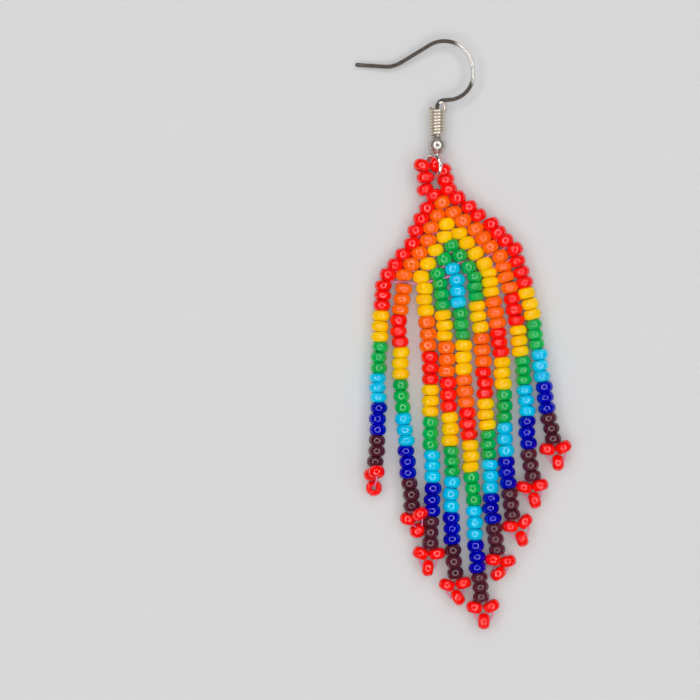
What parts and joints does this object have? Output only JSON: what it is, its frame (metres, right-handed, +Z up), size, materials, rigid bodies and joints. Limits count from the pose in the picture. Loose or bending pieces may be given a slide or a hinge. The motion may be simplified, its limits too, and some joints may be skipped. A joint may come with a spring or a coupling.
{
  "type": "beaded fringe earring",
  "caption": "Drop earring with a silver fish-hook ear wire, a brick-stitched triangle of glass seed beads and a tapering beaded fringe, lying flat.",
  "frame": {"origin": "on the surface the earring lies on, under the middle of its bounding box", "axes": "+X to the right across the fringe, +Y from the fringe to the ear wire, +Z up from the surface"},
  "size_m": [0.031, 0.0848, 0.0043],
  "materials": {
    "silver_wire": "polished",
    "silver_ball": "polished",
    "red_bead": "gloss",
    "woven_bead": "gloss",
    "fringe_bead": "gloss"
  },
  "bodies": {
    "root": {"ear_wire": "silver_wire", "coil": "silver_wire", "ball": "silver_ball", "hanging_loop": "red_bead", "woven_top": "woven_bead", "fringe_strand_1": "fringe_bead", "fringe_strand_2": "fringe_bead", "fringe_strand_3": "fringe_bead", "fringe_strand_4": "fringe_bead", "fringe_strand_5": "fringe_bead", "fringe_strand_6": "fringe_bead", "fringe_strand_7": "fringe_bead", "fringe_strand_8": "fringe_bead", "fringe_strand_9": "fringe_bead", "picot_1": "red_bead", "picot_2": "red_bead", "picot_3": "red_bead", "picot_4": "red_bead", "picot_5": "red_bead", "picot_6": "red_bead", "picot_7": "red_bead", "picot_8": "red_bead", "picot_9": "red_bead"}
  },
  "joints": []
}
